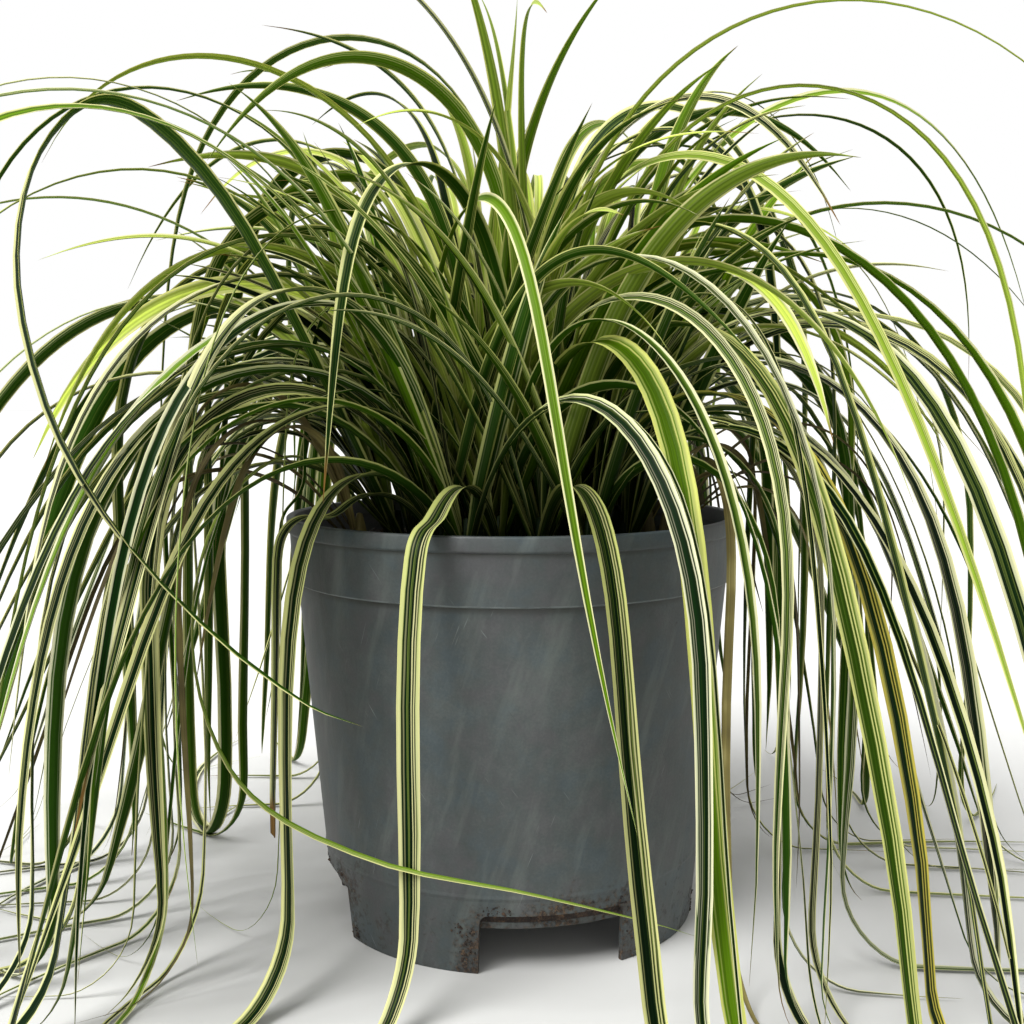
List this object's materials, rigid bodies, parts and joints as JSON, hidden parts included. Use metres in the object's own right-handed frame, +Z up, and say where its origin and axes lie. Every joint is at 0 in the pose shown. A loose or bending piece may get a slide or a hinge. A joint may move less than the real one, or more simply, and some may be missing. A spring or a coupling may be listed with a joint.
{
  "type": "potted carex sedge",
  "caption": "Variegated carex sedge with long arching striped leaves, standing in a round plastic nursery pot of soil.",
  "frame": {"origin": "on the surface that the pot stands on, under the pot's axis, which is the middle of the plant's box", "axes": "+Z up along the pot's axis, -Y towards the open side, where fewest leaves hang over the pot"},
  "size_m": [0.544, 0.5433, 0.4158],
  "materials": {
    "pot": "moulded grey-blue polypropylene with a soft sheen and scuffs",
    "soil": "dark, damp, crumbly potting mix",
    "green_leaf": "satin green blade with cream margins",
    "dry_leaf": "dull straw-brown dead blade"
  },
  "bodies": {
    "root": {"pot": "pot", "soil": "soil", "shoot_01": "green_leaf", "shoot_02": "green_leaf", "shoot_03": "green_leaf", "shoot_04": "green_leaf", "shoot_05": "green_leaf", "shoot_06": "green_leaf", "shoot_07": "green_leaf", "shoot_08": "green_leaf", "shoot_09": "green_leaf", "shoot_10": "green_leaf", "shoot_11": "green_leaf", "shoot_12": "green_leaf", "shoot_13": "green_leaf", "shoot_14": "green_leaf", "shoot_15": "green_leaf", "shoot_16": "green_leaf", "shoot_17": "green_leaf", "shoot_18": "green_leaf", "shoot_19": "green_leaf", "shoot_20": "green_leaf", "shoot_21": "green_leaf", "shoot_22": "green_leaf", "shoot_23": "green_leaf", "shoot_24": "green_leaf", "shoot_25": "green_leaf", "shoot_26": "green_leaf", "shoot_27": "green_leaf", "shoot_28": "green_leaf", "shoot_29": "green_leaf", "shoot_30": "green_leaf", "shoot_31": "green_leaf", "shoot_32": "green_leaf", "dry_tuft_01": "dry_leaf", "dry_tuft_02": "dry_leaf", "dry_tuft_03": "dry_leaf", "dry_tuft_04": "dry_leaf"}
  },
  "joints": []
}
